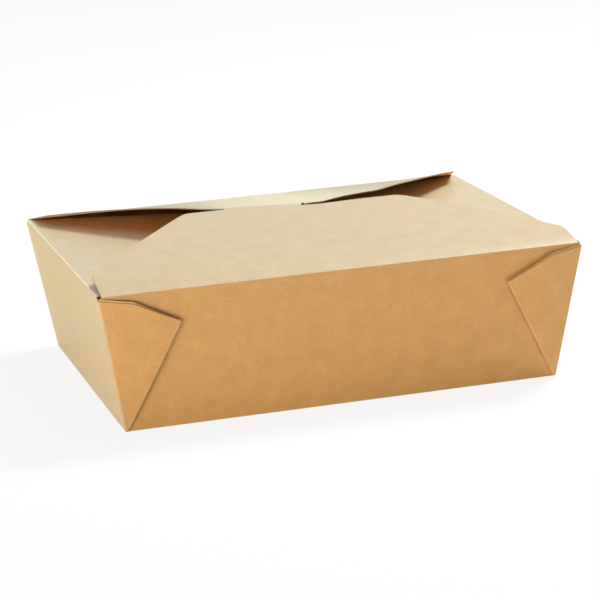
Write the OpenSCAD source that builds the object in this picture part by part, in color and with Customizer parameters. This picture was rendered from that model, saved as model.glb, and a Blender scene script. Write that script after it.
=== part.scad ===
// Takeaway box folded from one sheet of kraft board: a tapered tray with gusseted corners,
// two end flaps folded in, and a front and a back flap that interlock over them.
// The box stands on its base, centred on the origin, with its front towards -Y.

/* [Box] */
// Length of the box along its top creases
top_length = 216; // [190:1:240]
// Width of the box across its top creases
top_width = 157; // [148:1:175]
// Length of the base
base_length = 196; // [170:1:216]
// Width of the base
base_width = 141; // [125:1:150]
// Height of the top creases above the table
crease_height = 61.8; // [45:0.1:80]
// Thickness of the board
board = 0.45; // [0.35:0.05:0.6]

/* [Corner gussets] */
// Drop of the gusset edge at the corner, below the top crease
gusset_drop = 1.3; // [1:0.1:3]
// Distance from the corner to the shoulder of the gusset edge
gusset_shoulder = 14.4; // [8:0.1:18]
// Drop of the gusset edge at its shoulder
gusset_shoulder_drop = 3.5; // [2:0.1:5]
// Distance from the corner to the tip of the gusset
gusset_reach = 34.5; // [28:0.5:42]
// Drop of the tip of the gusset
gusset_tip_drop = 13.4; // [8:0.1:18]
// How far the inner layer stands above the outer one
gusset_inner_rise = 0.4; // [0.2:0.1:0.7]

/* [End flaps] */
// Length of an end flap from its crease
end_flap_length = 74; // [50:1:80]
// Width of an end flap along its crease
end_flap_root_width = 147; // [120:1:149]
// Width of an end flap at its free edge
end_flap_tip_width = 124; // [80:1:140]
// Radius of the end flap's free corners
end_flap_radius = 9; // [2:0.5:15]
// Angle by which an end flap dips into the box
end_flap_dip = 1; // [0.5:0.1:4]

/* [Front flap] */
// Gap between the end of the crease and the side edge of a main flap
flap_side_gap = 1.6; // [1:0.1:4]
// Length of the straight side edge of a main flap
flap_side_length = 18; // [12:0.5:24]
// Angle of the front flap above the horizontal at its crease
front_start_angle = 19.3; // [14:0.1:24]
// Angle of the front flap above the horizontal beyond its bowed root
front_slope_angle = 6.6; // [4:0.1:9]
// Length over which the bow at the root dies out
front_bow_length = 20; // [12:1:30]
// Angle of the tongue below the horizontal, past the ridge
tongue_angle = 14.7; // [12:0.1:16]
// Distance from the middle of the box back to the ridge of the front flap
ridge_offset = 1.5; // [0:0.1:3]
// Softness of the bend along the ridge
ridge_softness = 1.2; // [0.4:0.1:2]
// Half width of the front flap at its shoulders
shoulder_half_width = 46.4; // [40:0.1:52]
// Distance from the middle of the box to the shoulders
shoulder_offset = 3; // [1:0.5:5]
// Half width of the tongue at its free edge
tongue_half_width = 17; // [13:0.5:20]
// Distance from the middle of the box to the free edge of the tongue
tongue_reach = 50; // [42:0.5:54]
// Height of the tip of the tongue above the crease
tongue_tip_rise = 1.7; // [1.6:0.1:2.2]
// Radius of the shoulders of the front flap
shoulder_radius = 5; // [2:0.5:8]
// Radius of the corners of the tongue
tongue_radius = 2.5; // [1:0.5:4]

/* [Back flap] */
// Angle of the back flap's lobes above the horizontal at their crease
lobe_start_angle = 16.4; // [15:0.1:20]
// Radius of the bow across the lobes
lobe_bow_radius = 400; // [300:1:600]
// Distance that a lobe reaches past the middle of the box
lobe_overlap = 2; // [1:0.5:4]
// Radius of the free corner of a lobe
lobe_radius = 4; // [2:0.5:6]
// How far the back flap's side edge slants inwards along its length
lobe_side_taper = 3.8; // [1:0.1:6]
// Half width of the flat middle of the back flap
middle_half_width = 16.5; // [14:0.5:20]
// Distance over which the board climbs from the flat middle to a lobe
lobe_climb = 24; // [20:0.1:34]
// Share of the lobes' height that the middle of the back flap keeps
middle_share = 0.05; // [0.02:0.01:0.08]
// Gap in plan between the edge of the tongue and the slit beside it
slit_gap = 0.8; // [0.5:0.1:1.5]
// Distance from the free edge of the tongue to the ends of the slits
slit_end_offset = 2.5; // [2:0.5:6]
// Gap in height between the tongue and the middle of the back flap under it
tongue_gap = 0.3; // [0.2:0.05:0.6]

/* [Creases] */
// Gap between a main flap's rolled crease and the edge of its wall
crease_gap = 0.1; // [0.05:0.05:0.3]

/* [Hidden] */
kraft = [0.8, 0.63, 0.41];
kraft_light = [0.86, 0.72, 0.52];
kraft_pale = [0.9, 0.78, 0.6];
half_board = board / 2;
wall_rise = crease_height - half_board;
front_run = (top_width - base_width) / 2;
end_run = (top_length - base_length) / 2;
front_lean = atan(front_run / wall_rise);
end_lean = atan(end_run / wall_rise);
front_slant = norm([front_run, wall_rise]);
end_slant = norm([end_run, wall_rise]);
crease_y = top_width / 2;
flap_half_length = top_length / 2 - flap_side_gap;
ply_pitch = board - 0.02;
gusset_stack = 2 * ply_pitch;
fold_radius = 0.96 * half_board;
fold_share = 0.99;
profile_steps = 48;
lobe_columns = 54;
lobe_rows = 18;
middle_steps = 12;
cut_height = 60;
fold_facets = 24;

// Smooth lesser and greater of two heights, with a bend as soft as k
function soft_min(a, b, k) = (a + b - norm([a - b, k])) / 2;
function soft_max(a, b, k) = (a + b + norm([a - b, k])) / 2;
function limit(v, low, high) = min(max(v, low), high);

// Points of an outline whose corner i is rounded with radius radii[i]
function corner_arc(before, at, after, r, n = 8) =
    let (
        u = (before - at) / norm(before - at),
        v = (after - at) / norm(after - at),
        half = acos(limit(u * v, -1, 1)) / 2,
        centre = at + (u + v) / norm(u + v) * r / sin(half),
        start = at + u * r / tan(half) - centre,
        finish = at + v * r / tan(half) - centre
    )
    [for (i = [0:n])
        let (t = i / n, p = start * (1 - t) + finish * t)
        centre + p / norm(p) * r];
function rounded(points, radii) =
    let (n = len(points))
    [for (i = [0:n - 1])
        each radii[i] <= 0
            ? [points[i]]
            : corner_arc(points[(i + n - 1) % n], points[i], points[(i + 1) % n], radii[i])];

// A flat panel of board centred on its outline
module panel(outline) {
    linear_extrude(board, center = true) polygon(outline);
}

// A rolled fold from p to q, a little tighter than the board
module fold(p, q, r = fold_radius) {
    run = q - p;
    flat = norm([run[0], run[1]]);
    translate(p)
        rotate([0, atan2(flat, run[2]), atan2(run[1], run[0])])
            cylinder(r = r, h = norm(run), $fn = fold_facets);
}

// Puts a panel drawn as [sideways, up] into a wall that leans out from the base crease
module lean_out(distance, lean, out = 0) {
    translate([0, -distance, half_board])
        rotate([90 + lean, 0, 0])
            translate([0, 0, out])
                children();
}

module long_wall() {
    top = front_slant - half_board - crease_gap;
    spread = end_run * top / front_slant;
    foot = base_length / 2;
    lean_out(base_width / 2, front_lean)
        panel([[-foot, 0], [foot, 0], [foot + spread, top], [-foot - spread, top]]);
}

module end_wall() {
    foot = base_width / 2 + gusset_stack;
    head = top_width / 2 + gusset_stack;
    shoulder = end_slant - gusset_drop;
    root = end_flap_root_width / 2;
    lean_out(base_length / 2, end_lean)
        panel([
            [-foot, 0], [foot, 0], [head, shoulder],
            [root, end_slant], [-root, end_slant], [-head, shoulder]
        ]);
}

// Outline of one layer of a corner gusset on the long wall, its free edge raised by rise
// and its tip drawn back by the same distance
function gusset_outline(rise) = [
    [base_length / 2, 0],
    [top_length / 2 - end_run * (gusset_drop - rise) / front_slant, front_slant - gusset_drop + rise],
    [top_length / 2 - gusset_shoulder, front_slant - gusset_shoulder_drop + rise],
    [top_length / 2 - gusset_reach + rise, front_slant - gusset_tip_drop]
];

// The two layers of one corner gusset, folded flat on the outside of the long wall
module gusset() {
    foot = [base_length / 2, 0, 0];
    tip = [top_length / 2 - gusset_reach, front_slant - gusset_tip_drop, 0];
    fold_start = foot + (tip - foot) * (1 - fold_share);
    fold_end = foot + (tip - foot) * fold_share;
    lean_out(base_width / 2, front_lean, ply_pitch)
        panel(gusset_outline(gusset_inner_rise));
    lean_out(base_width / 2, front_lean, gusset_stack)
        panel(gusset_outline(0));
    lean_out(base_width / 2, front_lean, 1.5 * ply_pitch)
        fold(fold_start, fold_end, 2 * fold_radius);
}

module end_flap() {
    root = end_flap_root_width / 2;
    tip = end_flap_tip_width / 2;
    translate([top_length / 2, 0, crease_height])
        rotate([0, -end_flap_dip, 0])
            panel(rounded(
                [[0, root], [-end_flap_length, tip], [-end_flap_length, -tip], [0, -root]],
                [0, end_flap_radius, end_flap_radius, 0]));
}

module base() {
    translate([0, 0, half_board])
        cube([base_length, base_width, board], center = true);
}

// The rolled folds of the base, the corners and the end flaps
module tray_folds() {
    foot_x = base_length / 2;
    foot_y = base_width / 2;
    root = end_flap_root_width / 2 - board;
    corner_foot = [foot_x, -foot_y - gusset_stack, half_board];
    corner_head = [top_length / 2, -top_width / 2 - gusset_stack, crease_height];
    corner_top = corner_head + (corner_foot - corner_head) * gusset_drop / end_slant;
    for (side = [0, 1])
        mirror([side, 0, 0]) {
            fold([foot_x, -foot_y - gusset_stack, half_board], [foot_x, foot_y + gusset_stack, half_board]);
            fold([top_length / 2, -root, crease_height], [top_length / 2, root, crease_height]);
            for (end = [0, 1])
                mirror([0, end, 0])
                    fold(corner_foot, corner_top);
        }
    for (end = [0, 1])
        mirror([0, end, 0])
            fold([-foot_x, -foot_y, half_board], [foot_x, -foot_y, half_board]);
}

module tray() {
    color(kraft) {
        base();
        tray_folds();
        for (turn = [0, 180])
            rotate([0, 0, turn]) {
                long_wall();
                gusset();
                mirror([1, 0, 0]) gusset();
                rotate([0, 0, 90]) end_wall();
                end_flap();
            }
    }
}

// Height of the front flap's middle surface, from the front crease at -crease_y to the tongue
function front_rise(y) =
    let (d = y + crease_y, s = tan(front_slope_angle), s0 = tan(front_start_angle))
    crease_height + s * d + (s0 - s) * front_bow_length * (1 - exp(-d / front_bow_length));
function front_fall(y) =
    front_rise(-ridge_offset) - tan(tongue_angle) * (y + ridge_offset);
function front_height(y) =
    soft_max(
        soft_min(front_rise(y), front_fall(y), ridge_softness),
        crease_height + tongue_tip_rise + 0.05 * (y - tongue_reach),
        half_board);

// A band of board, as thick as the board, along a middle line of [y, z] points
function band_side(line, side) =
    [for (i = [0:len(line) - 1])
        let (
            before = line[max(i - 1, 0)],
            after = line[min(i + 1, len(line) - 1)],
            run = (after - before) / norm(after - before)
        )
        line[i] + side * half_board * [-run[1], run[0]]];
function reversed(list) = [for (i = [len(list) - 1:-1:0]) list[i]];
function band(line) = concat(band_side(line, 1), reversed(band_side(line, -1)));

// Draws a [y, z] shape along the length of the box
module along_length(half_length) {
    rotate([90, 0, 90])
        linear_extrude(2 * half_length, center = true)
            children();
}

// The rolled crease of a main flap, at a distance y from the middle
module rolled_crease(y) {
    along_length(flap_half_length)
        translate([y, crease_height])
            circle(d = board, $fn = fold_facets);
}

// A tall prism over an outline seen from above
module plan_cut(outline) {
    translate([0, 0, crease_height - cut_height / 2])
        linear_extrude(cut_height)
            polygon(outline);
}

module front_flap() {
    line = [for (i = [0:profile_steps])
        let (y = -crease_y + (tongue_reach + crease_y) * i / profile_steps)
        [y, i == 0 ? crease_height : front_height(y)]];
    side_x = flap_half_length;
    side_y = -crease_y + flap_side_length;
    half = [
        [side_x, -crease_y - board],
        [side_x, side_y],
        [shoulder_half_width, shoulder_offset],
        [tongue_half_width, tongue_reach]
    ];
    radii = [0, 2, shoulder_radius, tongue_radius];
    outline = concat(half, reversed([for (p = half) [-p[0], p[1]]]));
    color(kraft_light)
        intersection() {
            union() {
                along_length(flap_half_length) polygon(band(line));
                rolled_crease(-crease_y);
            }
            plan_cut(rounded(outline, concat(radii, reversed(radii))));
        }
}

// Rise of the back flap above its crease: a bow across the lobes, nearly flat in the middle
function bow(r) = r * (tan(lobe_start_angle) - r / (2 * lobe_bow_radius));
function lobe_share(x) =
    let (t = (abs(x) - middle_half_width) / lobe_climb)
    middle_share + (1 - middle_share) * soft_min(soft_max(t, 0, 0.04), 1, 0.1);
function back_height(x, y) = crease_height + lobe_share(x) * bow(crease_y - y);

// Slit line of the back flap at a distance y from the middle, outside the tongue's edge
function slit_x(y) =
    let (
        run = (shoulder_half_width - tongue_half_width) / (tongue_reach - shoulder_offset),
        gap = slit_gap * norm([1, run])
    )
    tongue_half_width + run * (tongue_reach - y) + gap;

// A curved sheet over a grid of points, thickened up and down by half the board
module curved_sheet(x0, x1, y0, y1, columns, rows) {
    count = (columns + 1) * (rows + 1);
    function id(i, j, top) = i * (rows + 1) + j + (top ? 0 : count);
    function at(i, j, lift) =
        let (x = x0 + (x1 - x0) * i / columns, y = y0 + (y1 - y0) * j / rows)
        [x, y, back_height(x, y) + lift];
    points = concat(
        [for (i = [0:columns]) for (j = [0:rows]) at(i, j, half_board)],
        [for (i = [0:columns]) for (j = [0:rows]) at(i, j, -half_board)]);
    faces = concat(
        [for (i = [0:columns - 1]) for (j = [0:rows - 1])
            each [[id(i, j, true), id(i, j + 1, true), id(i + 1, j + 1, true)],
                [id(i, j, true), id(i + 1, j + 1, true), id(i + 1, j, true)],
                [id(i, j, false), id(i + 1, j + 1, false), id(i, j + 1, false)],
                [id(i, j, false), id(i + 1, j, false), id(i + 1, j + 1, false)]]],
        [for (i = [0:columns - 1])
            each [[id(i, 0, true), id(i + 1, 0, true), id(i + 1, 0, false)],
                [id(i, 0, true), id(i + 1, 0, false), id(i, 0, false)],
                [id(i + 1, rows, true), id(i, rows, true), id(i, rows, false)],
                [id(i + 1, rows, true), id(i, rows, false), id(i + 1, rows, false)]]],
        [for (j = [0:rows - 1])
            each [[id(0, j + 1, true), id(0, j, true), id(0, j, false)],
                [id(0, j + 1, true), id(0, j, false), id(0, j + 1, false)],
                [id(columns, j, true), id(columns, j + 1, true), id(columns, j + 1, false)],
                [id(columns, j, true), id(columns, j + 1, false), id(columns, j, false)]]]);
    polyhedron(points, faces, convexity = 4);
}

module back_flap() {
    side_x = flap_half_length;
    side_y = crease_y - flap_side_length;
    slit_end = tongue_reach - slit_end_offset;
    lobe_tip = -lobe_overlap;
    half = [
        [side_x, crease_y + board],
        [side_x - lobe_side_taper, side_y],
        [slit_x(lobe_tip), lobe_tip],
        [slit_x(slit_end), slit_end]
    ];
    radii = [0, 2, lobe_radius, 0];
    outline = concat(half, reversed([for (p = half) [-p[0], p[1]]]));
    middle_start = slit_end + 1;
    middle_end = 2 * lobe_overlap - ridge_offset;
    middle_line = [for (i = [0:middle_steps])
        let (y = middle_start + (middle_end - middle_start) * i / middle_steps)
        [y, min(back_height(0, y), front_height(y) - board - tongue_gap)]];
    root = slit_x(middle_start) - 2 * slit_gap;
    tip = slit_x(middle_end) - 2 * slit_gap;
    color(kraft_pale) {
        intersection() {
            union() {
                curved_sheet(-side_x, side_x, lobe_tip - 1, crease_y, lobe_columns, lobe_rows);
                rolled_crease(crease_y);
            }
            plan_cut(rounded(outline, concat(radii, reversed(radii))));
        }
        intersection() {
            along_length(flap_half_length) polygon(band(middle_line));
            plan_cut([[root, middle_start], [tip, middle_end], [-tip, middle_end], [-root, middle_start]]);
        }
    }
}

tray();
front_flap();
back_flap();
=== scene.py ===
"""Looks of a folded kraft takeaway box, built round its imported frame.

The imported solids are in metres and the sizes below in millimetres, in the same frame: the box stands
on z = 0, with its long walls along x and its front towards -y.
"""

import logging
import math
from collections.abc import Callable, Iterable
from dataclasses import dataclass
from enum import Enum

import bmesh
import bpy
import numpy as np
from mathutils import Matrix, Vector


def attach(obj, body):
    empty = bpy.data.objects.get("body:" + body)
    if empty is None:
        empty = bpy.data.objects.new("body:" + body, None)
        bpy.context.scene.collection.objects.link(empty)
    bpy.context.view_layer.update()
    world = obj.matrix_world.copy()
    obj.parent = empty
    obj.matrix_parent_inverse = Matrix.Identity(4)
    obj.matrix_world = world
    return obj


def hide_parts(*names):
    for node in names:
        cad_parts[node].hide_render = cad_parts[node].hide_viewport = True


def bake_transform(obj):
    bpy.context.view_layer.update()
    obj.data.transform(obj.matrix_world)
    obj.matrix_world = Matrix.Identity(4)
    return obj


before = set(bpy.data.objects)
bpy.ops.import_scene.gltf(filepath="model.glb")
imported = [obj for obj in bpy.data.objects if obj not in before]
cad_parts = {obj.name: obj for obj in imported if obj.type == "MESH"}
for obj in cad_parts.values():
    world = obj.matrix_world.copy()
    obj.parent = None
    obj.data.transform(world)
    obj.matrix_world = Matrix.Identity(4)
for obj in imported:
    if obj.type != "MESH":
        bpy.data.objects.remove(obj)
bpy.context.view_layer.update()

MM = 0.001
FLAT_MAP = "flat_sheet"
# Per-point attribute that makes folds paler: crease scuffing, and partly a painted highlight where folds
# catch the light.
CREASE = "crease_wear_and_highlight"
WALL_TONE = (0.6, 0.305, 0.085)
# Darker than the faces: partly the cut board's own colour, partly painted shade on edges that face away from
# the light.
CUT_EDGE_TONE_WITH_SHADE = (0.4, 0.25, 0.12)
WELD_REACH = 0.004
PINHOLE_LENGTH = 12
SHARP_ANGLE = 50
log = logging.getLogger("takeaway_box")

# Short names for the types that recur
Array = np.ndarray
Value = np.ndarray | float
Pair = tuple[float, float]
Triple = tuple[float, float, float]
Patch = tuple[Array, Array, Value]
Socket = bpy.types.NodeSocket


class Side(Enum):
    """Material slots of a piece of board."""

    OUTSIDE = 0
    INSIDE = 1
    CUT_EDGE = 2


class Wall(Enum):
    """Which of two facing walls, as the sign of its place along the box."""

    LOW = -1
    HIGH = 1


def unit(vector: Array) -> Array:
    """Returns the vector at length one."""
    return vector / np.linalg.norm(vector)


def lerp(a: Value, b: Value, t: Value) -> Array:
    """Returns the point that lies at share t of the way from a to b."""
    return a + (b - a) * t


def ease(t: Value) -> Array:
    """Returns a smooth step that is 0 below t = 0 and 1 above t = 1."""
    t = np.clip(t, 0, 1)
    return t * t * (3 - 2 * t)


def soft_min(a: Array, b: Value, softness: float) -> Array:
    """Returns the lesser of two values, with a bend as soft as softness."""
    return (a + b - np.hypot(a - b, softness)) / 2


def soft_max(a: Array, b: Value, softness: float) -> Array:
    """Returns the greater of two values, with a bend as soft as softness."""
    return (a + b + np.hypot(a - b, softness)) / 2


def stacked(*parts: Value) -> Array:
    """Returns points from their coordinates, any of which may be one value for all."""
    return np.stack(np.broadcast_arrays(*parts), -1)


def half_angle(toward_a: Array, toward_b: Array) -> float:
    """Returns half the angle between two unit directions."""
    return math.acos(float(np.clip(toward_a @ toward_b, -1, 1))) / 2


def rounded_outline(points: list[Pair], radii: list[float], steps: int = 10) -> Array:
    """Rounds the inner corners of an open outline.

    Args:
        points: The outline's corners, in order.
        radii: The radius at each corner; the first and the last aren't used.
        steps: How many pieces each arc has.

    Returns:
        The rounded outline's points, one per row.
    """
    path = [np.array(points[0], float)]
    for before, at, after, radius in zip(points, points[1:], points[2:], radii[1:], strict=False):
        here = np.array(at, float)
        if radius <= 0:
            path.append(here)
            continue
        path.extend(arc(here, unit(np.array(before) - here), unit(np.array(after) - here), radius, steps))
    path.append(np.array(points[-1], float))
    return np.array(path)


def arc(corner: Array, toward_a: Array, toward_b: Array, radius: float, steps: int) -> Array:
    """Lays an arc into the corner between two directions.

    Args:
        corner: The corner, or several in rows.
        toward_a: Unit direction from the corner along the first side.
        toward_b: Unit direction from the corner along the second side.
        radius: Radius of the arc.
        steps: How many pieces the arc has.

    Returns:
        The arc's points from the first side to the second, with the corners' axes before the steps' one.
    """
    half = half_angle(toward_a, toward_b)
    middle = unit(toward_a + toward_b) * radius / math.sin(half)
    start = toward_a * radius / math.tan(half) - middle
    end = toward_b * radius / math.tan(half) - middle
    turn = math.pi - 2 * half
    t = np.linspace(0, 1, steps + 1)[:, None]
    swept = (start * np.sin((1 - t) * turn) + end * np.sin(t * turn)) / math.sin(turn)
    return corner[..., None, :] + middle + swept


def setback(toward_a: Array, toward_b: Array, radius: float) -> float:
    """Returns how far from a corner an arc of that radius starts."""
    return radius / math.tan(half_angle(toward_a, toward_b))


@dataclass(frozen=True)
class BoxSizes:
    """Sizes that the pieces share, in millimetres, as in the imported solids."""

    top_length: float = 216.0
    top_width: float = 157.0
    base_length: float = 196.0
    base_width: float = 141.0
    crease_height: float = 61.8
    board: float = 0.45
    fold_radius: float = 0.5
    crease_lip: float = 0.9
    flap_half_length: float = 106.4

    @property
    def half_board(self) -> float:
        """Half the board's thickness, which is the height of the base's middle surface."""
        return self.board / 2

    @property
    def rise(self) -> float:
        """Height of a top crease above the base's middle surface."""
        return self.crease_height - self.half_board

    @property
    def crease_y(self) -> float:
        """Distance of a main flap's crease from the box's middle."""
        return self.top_width / 2

    @property
    def crease_x(self) -> float:
        """Distance of an end flap's crease from the box's middle."""
        return self.top_length / 2

    @property
    def base_x(self) -> float:
        """Distance of an end wall's foot from the box's middle."""
        return self.base_length / 2

    @property
    def base_y(self) -> float:
        """Distance of a long wall's foot from the box's middle."""
        return self.base_width / 2

    @property
    def flat_crease_x(self) -> float:
        """Distance of an end flap's crease from the middle of the flat sheet."""
        return self.base_x + self.end_slant

    @property
    def flat_crease_y(self) -> float:
        """Distance of a main flap's crease from the middle of the flat sheet."""
        return self.base_y + self.front_slant

    @property
    def front_run(self) -> float:
        """How far a long wall leans out over its height."""
        return (self.top_width - self.base_width) / 2

    @property
    def end_run(self) -> float:
        """How far an end wall leans out over its height."""
        return (self.top_length - self.base_length) / 2

    @property
    def front_slant(self) -> float:
        """Height of a long wall, measured along its slope."""
        return math.hypot(self.front_run, self.rise)

    @property
    def end_slant(self) -> float:
        """Height of an end wall, measured along its slope."""
        return math.hypot(self.end_run, self.rise)


SIZES = BoxSizes()


def new_object(name: str, data: bpy.types.ID) -> bpy.types.Object:
    """Puts a new object into the scene.

    Args:
        name: Its name.
        data: Its mesh, lamp or camera.

    Returns:
        The object.
    """
    made = bpy.data.objects.new(name, data)
    bpy.context.scene.collection.objects.link(made)
    return made


class NodeBench:
    """Makes and links the nodes of one material or world."""

    def __init__(self, tree: bpy.types.NodeTree) -> None:
        """Starts with an empty tree."""
        self.tree = tree
        self.tree.nodes.clear()

    def add(self, kind: str, inputs: dict | None = None, **settings: object) -> bpy.types.Node:
        """Adds a node.

        Args:
            kind: Blender's name for the node's type.
            inputs: Values or other nodes' sockets, by the name or number of the input that takes them.
            settings: The node's own options.

        Returns:
            The new node.
        """
        node = self.tree.nodes.new(kind)
        for key, value in settings.items():
            setattr(node, key, value)
        for key, value in (inputs or {}).items():
            if isinstance(value, Socket):
                self.tree.links.new(value, node.inputs[key])
            else:
                node.inputs[key].default_value = value
        return node

    def math(self, operation: str, a: object, b: object = 0.0) -> Socket:
        """Returns the result of one sum on two values or sockets."""
        return self.add("ShaderNodeMath", {0: a, 1: b}, operation=operation).outputs[0]

    def span(
        self, value: object, low: float, high: float, to_low: float = 0.0, to_high: float = 1.0
    ) -> Socket:
        """Returns value moved from the range low to high into another, and held there."""
        inputs = {"Value": value, "From Min": low, "From Max": high, "To Min": to_low, "To Max": to_high}
        return self.add("ShaderNodeMapRange", inputs).outputs["Result"]

    def noise(self, vector: object, scale: float, detail: float, seed: float = 0.0) -> Socket:
        """Returns a noise pattern's value, from 0 to 1."""
        inputs = {"Vector": vector, "Scale": scale, "Detail": detail, "W": seed}
        return self.add("ShaderNodeTexNoise", inputs, noise_dimensions="4D").outputs[0]

    def times(self, colour: object, tint: Triple) -> Socket:
        """Returns a colour with each channel multiplied by a tint's."""
        inputs = {0: 1.0, 6: colour, 7: (*tint, 1.0)}
        return self.add("ShaderNodeMix", inputs, data_type="RGBA", blend_type="MULTIPLY").outputs[2]

    def tint(self, share: object, a: object, b: object) -> Socket:
        """Returns colour a mixed towards colour b by a share."""
        inputs = {0: share, 6: a, 7: b}
        return self.add("ShaderNodeMix", inputs, data_type="RGBA").outputs[2]

    def seen(self) -> Socket:
        """Tells rays that show a surface in the picture from those that light other surfaces.

        Returns:
            A value that is 1 for a ray that shows it and 0 for one that lights.
        """
        path = self.add("ShaderNodeLightPath").outputs
        shown = self.math("ADD", path["Is Camera Ray"], path["Is Glossy Ray"])
        shown = self.math("ADD", shown, path["Is Transmission Ray"])
        return self.math("MINIMUM", shown, 1.0)


def new_material(name: str) -> tuple[bpy.types.Material, NodeBench]:
    """Makes an empty material.

    Args:
        name: Its name.

    Returns:
        The material, and the bench on which its nodes are made.
    """
    made = bpy.data.materials.new(name)
    made.use_nodes = True
    return made, NodeBench(made.node_tree)


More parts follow.
